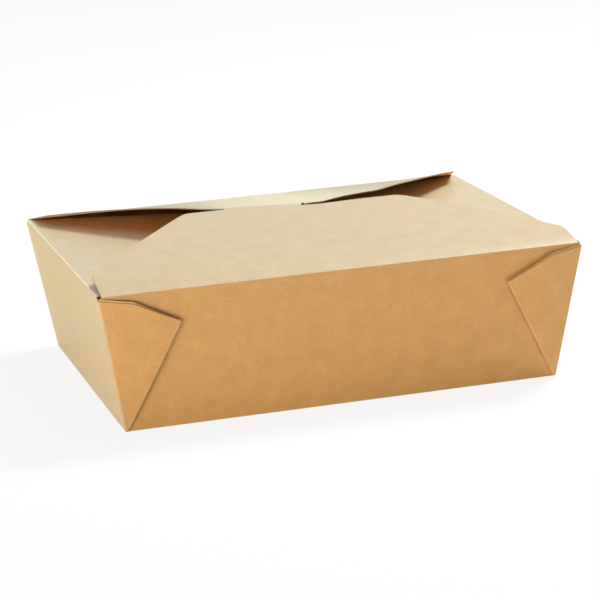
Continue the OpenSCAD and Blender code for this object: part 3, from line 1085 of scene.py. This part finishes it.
@dataclass(frozen=True)
class FrontFlap:
    """The front flap: it arches up to a soft ridge and falls from there to the tip of its tongue."""

    bed: TongueBed
    side_length: float = 18.0
    start_angle: float = 19.3
    slope_angle: float = 6.6
    bow_length: float = 20.0
    tongue_angle: float = 15.1
    ridge_offset: float = 1.5
    ridge_softness: float = 1.2
    shoulder: Pair = (46.4, 3.0)
    tongue_half_width: float = 17.0
    tongue_reach: float = 50.0
    tongue_gap: float = 0.12
    leans: Pair = (0.15, 1.5)
    lean_start: float = 0.0
    lean_end: float = 25.0
    lean_reach: float = 30.0
    dip: float = 1.25
    dip_at: float = 8.0
    dip_reach: float = 20.0
    side_radius: float = 2.0
    shoulder_radius: float = 5.0
    tongue_radius: float = 2.5
    columns: int = 60
    rows: int = 109

    def rise(self, y: Array) -> Array:
        """Finds the height of the flap's rising part.

        Args:
            y: Places across the box.

        Returns:
            The height of the middle surface at each.
        """
        d = y + SIZES.crease_y
        slope = math.tan(math.radians(self.slope_angle))
        start = math.tan(math.radians(self.start_angle))
        bow = (start - slope) * self.bow_length * (1 - np.exp(-d / self.bow_length))
        return SIZES.crease_height + slope * d + bow

    def height(self, x: Value, y: Value) -> Array:
        """Finds the height of the flap's middle surface, which leans to its right and dips at its ridge.

        Args:
            x: Places along the box.
            y: Places across it.

        Returns:
            The height at each.
        """
        ridge = self.rise(np.array(-self.ridge_offset))
        fall = ridge - math.tan(math.radians(self.tongue_angle)) * (y + self.ridge_offset)
        share = ease((y + SIZES.crease_y - self.lean_start) / (self.lean_end - self.lean_start))
        lean = np.where(x < 0, *self.leans) * share * np.tanh(x / self.lean_reach)
        dip = self.dip * np.clip(1 + y / SIZES.crease_y, 0, 1)
        dip = dip * np.exp(-(((x - self.dip_at) / self.dip_reach) ** 2))
        arched = soft_min(self.rise(y), fall, self.ridge_softness) - lean - dip
        laid = self.bed.height(x, y) + SIZES.board + self.tongue_gap
        return np.where(y > 0, soft_max(arched, laid, SIZES.half_board), arched)

    @property
    def outline(self) -> Array:
        """Half of the flap's outline seen from above, from the crease to the middle of its free edge."""
        points = [
            (SIZES.flap_half_length, -SIZES.crease_y),
            (SIZES.flap_half_length, -SIZES.crease_y + self.side_length),
            self.shoulder,
            (self.tongue_half_width, self.tongue_reach),
            (0.0, self.tongue_reach),
        ]
        return rounded_outline(points, [0, self.side_radius, self.shoulder_radius, self.tongue_radius, 0])

    def half_width(self, y: Array) -> Array:
        """Returns half the flap's width at each distance from the box's middle."""
        path = self.outline[:-1]
        return np.interp(y, path[:, 1], path[:, 0])

    def build(self, finish: BoardFinish) -> bpy.types.Object:
        """Makes the flap as one piece that rides on the front flap's body.

        Args:
            finish: The finishes that it wears.

        Returns:
            The flap.
        """
        start = -SIZES.crease_y + SIZES.crease_lip
        y = np.linspace(start, self.tongue_reach, self.rows + 1)
        y = np.unique(np.concatenate([y, self.outline[1:-1, 1]]))
        y = y[y >= start]
        x = np.linspace(-1, 1, self.columns + 1)[None, :] * self.half_width(y)[:, None]
        run = np.concatenate([[0], np.cumsum(np.hypot(np.diff(y), np.diff(self.height(0.0, y))))])
        flat_y = -(SIZES.flat_crease_y + SIZES.crease_lip) - run
        sheet = FoldedSheet("front_flap_sheet")
        sheet.add(stacked(x, y[:, None], self.height(x, y[:, None])), stacked(x, flat_y[:, None]))
        on_rise = -40.0
        piece = sheet.board(finish, (0, on_rise, float(self.height(0.0, on_rise))), (0, 0, 1))
        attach(piece, "front_flap")
        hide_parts("front_flap")
        return piece


@dataclass(frozen=True)
class BackFlap:
    """The back flap: two bowed lobes over the front flap's shoulders, and a strip under its tongue."""

    front: FrontFlap
    side_length: float = 18.0
    lobe_slopes: Pair = (0.057, 0.005)
    step_length: float = 2.5
    lobe_climbs: Pair = (0.114, 0.447)
    climb_lengths: Pair = (12.0, 19.7)
    lobe_twists: Pair = (0.084, -0.677)
    lobe_curls: Pair = (0.025, 0.565)
    lobe_tip: Pair = (44.0, 5.0)
    strip_start: float = 2.5
    lobe_radius: float = 4.0
    side_taper: float = 5.0
    middle_half_width: float = 18.0
    slit_gap: float = 0.8
    slit_lap: float = 2.0
    slit_lift: float = 0.02
    lap_fade: float = 4.0
    lap_start: float = 22.0
    lap_growth: float = 12.0
    lift_start: float = 17.6
    lift_growth: float = 1.6
    lift_at: float = 20.0
    lift_reach: float = 3.0
    slit_softness: float = 0.8
    slit_end_offset: float = 2.5
    bed_gap: float = 0.1
    lobe_columns: int = 34
    middle_columns: int = 12
    side_radius: float = 2.0
    corner_rows: float = 8.0

    @property
    def slit_end(self) -> float:
        """Distance of the slits' ends from the box's middle."""
        return self.front.tongue_reach - self.slit_end_offset

    def slit_x(self, y: Value) -> Value:
        """Finds a lobe's edge along its slit, which runs beside the tongue's side.

        Args:
            y: Distances from the box's middle.

        Returns:
            The edge's place along the box at each.
        """
        shoulder_x, shoulder_y = self.front.shoulder
        run = (shoulder_x - self.front.tongue_half_width) / (self.front.tongue_reach - shoulder_y)
        gap = self.slit_gap * math.hypot(1, run)
        return self.front.tongue_half_width + run * (self.front.tongue_reach - y) + gap

    def lap(self, y: Array) -> Array:
        """Returns how far the right lobe bulges over the tongue's side, beside the slit's end."""
        grown = ease((y - self.lap_start) / self.lap_growth)
        return self.slit_lap * ease((self.slit_end - y) / self.lap_fade) * grown

    def height(self, x: Value, y: Value) -> Array:
        """Finds the height of the flap's middle surface, straight from the crease to the free edge.

        Args:
            x: Places along the box.
            y: Places across it.

        Returns:
            The height at each.
        """
        pairs = (self.lobe_slopes, self.lobe_climbs, self.climb_lengths, self.lobe_twists, self.lobe_curls)
        start, climb, length, twist, curl = (np.where(x < 0, left, right) for left, right in pairs)
        off = soft_max(np.abs(x) - self.middle_half_width, 0, self.slit_softness)
        out = off / (SIZES.flap_half_length - self.middle_half_width)
        slope = lerp(self.front.bed.slope_at(x), start, 1 - np.exp(-off / self.step_length))
        slope = slope + climb * (1 - np.exp(-off / length)) + twist * out + curl * out**2
        lift = self.slit_lift * ease((x - self.lift_start) / self.lift_growth)
        slope = slope + lift * np.exp(-(((x - self.lift_at) / self.lift_reach) ** 2))
        return SIZES.crease_height + slope * (SIZES.crease_y - y)

    @property
    def lobe_outline(self) -> tuple[Array, Array]:
        """The lobe's outer edge and its edge along the slit, both in rising distance from the middle."""
        root = (SIZES.flap_half_length, SIZES.crease_y)
        side = (SIZES.flap_half_length - self.side_taper, SIZES.crease_y - self.side_length)
        points = [root, side, self.lobe_tip, (self.slit_x(self.slit_end), self.slit_end)]
        path = rounded_outline(points, [0, self.side_radius, self.lobe_radius, 0], 14)
        lowest = int(np.argmin(path[:, 1]))
        return path[: lowest + 1][::-1], path[lowest:]

    def rows(self) -> Array:
        """Spreads the lobes' rows, closer at the lobe's rounded corner.

        Returns:
            Their distances from the box's middle, from the tip to the slit's end.
        """
        outer, inner = self.lobe_outline
        low = outer[0, 1]
        near = np.concatenate([outer[:, 1], inner[:, 1]])
        near = near[near < low + self.corner_rows]
        return np.unique(np.concatenate([np.linspace(low, self.slit_end, 44), near]))

    def add_grid(self, sheet: FoldedSheet, x: Array, y: Array, z: Array) -> None:
        """Adds a grid at given heights, with its place on the flat sheet measured from the crease.

        Args:
            sheet: The sheet that takes it.
            x: Places along the box.
            y: Places across it.
            z: The heights.
        """
        x, y, z = np.broadcast_arrays(x, y, z)
        sheet.add(stacked(x, y, z), stacked(x, SIZES.flat_crease_y + (SIZES.crease_y - y)))

    def zones(self) -> list[Array]:
        """Divides the flap behind the slits' ends into zones, from low x to high x.

        Returns:
            Shares of the way across each zone at which its columns stand.
        """
        lobe = np.linspace(0, 1, self.lobe_columns + 1)
        gap = np.linspace(0, 1, 3)
        middle = np.linspace(0, 1, self.middle_columns + 1)
        return [lobe, gap, middle, gap, lobe]

    def build(self, finish: BoardFinish) -> bpy.types.Object:
        """Makes the flap as one piece that rides on the back flap's body.

        Args:
            finish: The finishes that it wears.

        Returns:
            The flap.
        """
        sheet = FoldedSheet("back_flap_sheet")
        outer, inner = self.lobe_outline
        slit = float(self.slit_x(self.slit_end))
        strip = slit - 2 * self.slit_gap
        y = np.linspace(self.slit_end, SIZES.crease_y - SIZES.crease_lip, 26)
        bends = outer[(outer[:, 1] > self.slit_end) & (outer[:, 1] < y[-1]), 1]
        y = np.unique(np.concatenate([y, bends]))[:, None]
        side = np.interp(y, outer[:, 1], outer[:, 0])
        edges = np.full_like(side, slit), np.full_like(side, strip)
        marks = [-side, -edges[0], -edges[1], edges[1], edges[0], side]
        for low, high, share in zip(marks, marks[1:], self.zones(), strict=False):
            x = lerp(low, high, share[None, :])
            self.add_grid(sheet, x, y, self.height(x, y))
        rows = self.rows()[:, None]
        from_slit = np.interp(rows, inner[:, 1], inner[:, 0])
        from_side = np.interp(rows, outer[:, 1], outer[:, 0])
        share = self.zones()[0][None, :]
        for sign in (-1, 1):
            near = from_slit - self.lap(rows)
            x = -lerp(from_side, from_slit, share) if sign < 0 else lerp(near, from_side, share)
            self.add_grid(sheet, x, rows, self.height(x, rows))
        strip_y = np.linspace(self.strip_start, self.slit_end, 24)[:, None]
        width = self.slit_x(strip_y) - 2 * self.slit_gap
        x = lerp(-width, width - self.lap(strip_y), self.zones()[2][None, :])
        under = self.front.height(x, strip_y) - SIZES.board - self.bed_gap
        z = np.minimum(self.height(x, strip_y), under)
        z[-1] = self.height(x[-1], strip_y[-1])
        self.add_grid(sheet, x, strip_y, z)
        piece = sheet.board(finish, (0, 65, SIZES.crease_height), (0, 0, 1))
        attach(piece, "back_flap")
        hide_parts("back_flap")
        return piece


@dataclass(frozen=True)
class CreaseStrip:
    """The bent strip of board between a long wall and its flap."""

    name: str
    wall: Wall
    flap_body: str
    slot: str
    flap_height: Callable[[Array, float], Array]
    bend_radius: float = 0.26
    wall_reach: float = 107.1
    # How pale the crease is painted: scuffing and a painted highlight.
    wear_and_highlight: float = 0.15
    columns: int = 108
    steps: int = 12

    def profiles(self, x: Array) -> Array:
        """Lays the strip's middle surface, from the wall over the bend to the flap.

        Args:
            x: Places along the box.

        Returns:
            A row of points for each place.
        """
        inward = -self.wall.value
        up = np.array([0.0, self.wall.value * SIZES.front_run, SIZES.rise]) / SIZES.front_slant
        corner_y = self.wall.value * SIZES.crease_y
        join_y = corner_y + inward * SIZES.crease_lip
        lift = self.flap_height(x, join_y) - SIZES.crease_height
        rows = []
        for place, rise in zip(x, lift, strict=True):
            corner = np.array([place, corner_y, SIZES.crease_height])
            toward_flap = unit(np.array([0.0, inward * SIZES.crease_lip, rise]))
            bend = arc(corner, -up, toward_flap, self.bend_radius, self.steps)
            end = np.array([place, join_y, SIZES.crease_height + rise])
            rows.append(np.concatenate([[corner - up * SIZES.crease_lip], bend, [end]]))
        laid = np.array(rows)
        laid[..., 0] *= np.linspace(self.wall_reach / SIZES.flap_half_length, 1, laid.shape[1])
        return laid

    def build(self, finish: BoardFinish) -> bpy.types.Object:
        """Makes the strip, which runs from the wall below the crease to the flap beyond it.

        Args:
            finish: The finishes that it wears.

        Returns:
            The strip.
        """
        x = np.linspace(-SIZES.flap_half_length, SIZES.flap_half_length, self.columns + 1)
        points = self.profiles(x)
        run = np.linspace(-SIZES.crease_lip, SIZES.crease_lip, points.shape[1])
        flat_y = self.wall.value * (SIZES.flat_crease_y + run)
        wear_and_highlight = self.wear_and_highlight * np.sin(math.pi * np.linspace(0, 1, points.shape[1])) ** 2
        sheet = FoldedSheet(self.name)
        sheet.add(points, stacked(x[:, None], flat_y[None, :]), wear_and_highlight[None, :])
        piece = sheet.board(finish, tuple(points[0, 0]), (0, self.wall.value, 0))
        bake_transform(piece)
        return piece


@dataclass(frozen=True)
class Studio:
    """Camera, lamps, floor and surroundings."""

    azimuth: float = -16.46
    elevation: float = 14.95
    roll: float = -2.374
    distance: float = 1.07043
    focal_pixels: float = 2333.4
    centre: Pair = (295.27, 293.71)
    picture: float = 600.0
    target: Triple = (0.0, 0.0, 0.032)
    horizon: float = 0.08
    zenith: float = 1.0
    dome_start: float = 0.42
    dome_end: float = 0.95
    floor_reach: float = 12.0
    floor_low: float = -0.0001
    paper_tone: float = 0.88
    paper_glow: float = 0.84
    key_lamp: tuple[Triple, Pair, float] = ((0.68, 0.284, 0.98), (0.35, 0.35), 13.6)
    table_glow: tuple[Triple, Pair, float] = ((-0.74, -0.58, 0.031), (0.42, 0.058), 4.8)

    def camera(self) -> None:
        """Sets up the camera at the photograph's viewing angle."""
        a, e, r = (math.radians(v) for v in (self.azimuth, self.elevation, self.roll))
        back = Vector((math.sin(a) * math.cos(e), -math.cos(a) * math.cos(e), math.sin(e)))
        right = Vector((math.cos(a), math.sin(a), 0))
        up = back.cross(right)
        across = right * math.cos(r) + up * math.sin(r)
        upright = up * math.cos(r) - right * math.sin(r)
        data = bpy.data.cameras.new("camera")
        data.sensor_width = 36.0
        data.lens = data.sensor_width * self.focal_pixels / self.picture
        data.shift_x = (self.picture / 2 - self.centre[0]) / self.picture
        data.shift_y = -(self.picture / 2 - self.centre[1]) / self.picture
        data.clip_start = 0.05
        data.clip_end = 50.0
        made = new_object("camera", data)
        place = Matrix((across, upright, back)).transposed().to_4x4()
        place.translation = Vector(self.target) + back * self.distance
        made.matrix_world = place
        bpy.context.scene.camera = made

    def lamp(self, name: str, place: Triple, size: Pair, watts: float) -> None:
        """Adds a soft lamp that looks at the box.

        Args:
            name: Name of the lamp.
            place: Where its middle is.
            size: Its width and its height.
            watts: Its power.
        """
        data = bpy.data.lights.new(name, "AREA")
        data.shape = "RECTANGLE"
        data.size, data.size_y = size
        data.energy = watts
        made = new_object(name, data)
        made.location = place
        made.visible_camera = False
        aim = Vector(self.target) - Vector(place)
        made.rotation_mode = "QUATERNION"
        made.rotation_quaternion = aim.to_track_quat("-Z", "Y")

    def floor(self) -> None:
        """Lays the plain pale floor, which keeps the box's shadow."""
        mesh = bpy.data.meshes.new("floor")
        far, low = self.floor_reach, self.floor_low
        corners = [(-far, -far, low), (far, -far, low), (far, far, low), (-far, far, low)]
        mesh.from_pydata(corners, [], [(0, 1, 2, 3)])
        made = new_object("floor", mesh)
        paper, bench = new_material("floor_paper")
        diffuse = bench.add("ShaderNodeBsdfDiffuse", {"Color": (*[self.paper_tone] * 3, 1)})
        glow = bench.add("ShaderNodeEmission", {"Color": (1, 1, 1, 1), "Strength": 1.0})
        share = bench.math("MULTIPLY", bench.seen(), self.paper_glow)
        mix = bench.add("ShaderNodeMixShader", {0: share, 1: diffuse.outputs[0], 2: glow.outputs[0]})
        bench.add("ShaderNodeOutputMaterial", {"Surface": mix.outputs[0]})
        mesh.materials.append(paper)

    def world(self) -> None:
        """Makes the white surroundings, which also light the box."""
        made = bpy.data.worlds.new("surroundings")
        bpy.context.scene.world = made
        made.use_nodes = True
        bench = NodeBench(made.node_tree)
        place = bench.add("ShaderNodeTexCoord").outputs["Generated"]
        up = bench.add("ShaderNodeSeparateXYZ", {0: place}).outputs["Z"]
        dome = bench.span(up, self.dome_start, self.dome_end, self.horizon, self.zenith)
        strength = bench.math("MAXIMUM", dome, bench.seen())
        light = bench.add("ShaderNodeBackground", {"Color": (1, 1, 1, 1), "Strength": strength})
        bench.add("ShaderNodeOutputWorld", {"Surface": light.outputs[0]})

    def build(self) -> None:
        """Sets up everything that isn't the box."""
        scene = bpy.context.scene
        scene.view_settings.view_transform = "Standard"
        self.camera()
        self.floor()
        self.world()
        self.lamp("key", *self.key_lamp)
        self.lamp("table_glow", *self.table_glow)


def board_finish(
    name: str, tone: Triple, seed: float, inner: Triple = (0.7, 0.39, 0.14), **look: float | Triple
) -> BoardFinish:
    """Makes the finishes of one piece of board.

    Args:
        name: What the finishes' names start with.
        tone: Colour of the outside.
        seed: Tells one piece's pattern from another's.
        inner: Colour of the inside.
        look: Other fields of the outside's finish.

    Returns:
        The finishes.
    """
    # A flap's painted paler tone is turned back to the walls' tone where its board lies on the wall.
    wall_tint = tuple(wall / own for wall, own in zip(WALL_TONE, tone, strict=True))
    outside = KraftFinish(f"{name}_outside", tone, seed=seed, wall_tint=wall_tint, **look)
    inside = KraftFinish(f"{name}_inside", inner, roughness=0.5, sheen=0.2, coat=0.0, seed=seed + 40)
    return BoardFinish(outside, inside, CutEdgeFinish("board_cut_edge", CUT_EDGE_TONE_WITH_SHADE))


def report(pieces: Iterable[bpy.types.Object]) -> None:
    """Writes a line for each piece that was made."""
    for piece in pieces:
        log.info("%s: %d points, %d faces", piece.name, len(piece.data.vertices), len(piece.data.polygons))


def main() -> None:
    """Builds the box and its studio, and logs each piece's counts of points and faces."""
    logging.basicConfig(level=logging.INFO, format="%(name)s %(message)s")
    front = FrontFlap(TongueBed())
    back = BackFlap(front)
    back_look = {"coat": 0.15, "inner": (0.9, 0.37, 0.065)}
    walls_finish = board_finish("kraft_walls", WALL_TONE, 0.0, sheen_tint=(1.0, 0.9, 0.5))
    # Painted light: the front and back flaps get paler, greyer tones than the walls though all are one
    # board, standing in for the sheen on the top faces.
    front_finish = board_finish("kraft_front_flap", (0.56, 0.415, 0.23), 100.0, sheen=0.5)
    back_finish = board_finish("kraft_back_flap", (0.82, 0.69, 0.49), 200.0, **back_look)
    front_strip = CreaseStrip("front_crease", Wall.LOW, "front_flap", "kraft_front_flap", front.height)
    back_strip = CreaseStrip("back_crease", Wall.HIGH, "back_flap", "kraft_back_flap", back.height)
    report(
        [
            Tray().build(walls_finish),
            front.build(front_finish),
            back.build(back_finish),
            front_strip.build(front_finish),
            back_strip.build(back_finish),
        ]
    )
    Studio().build()


if __name__ == "__main__":
    main()
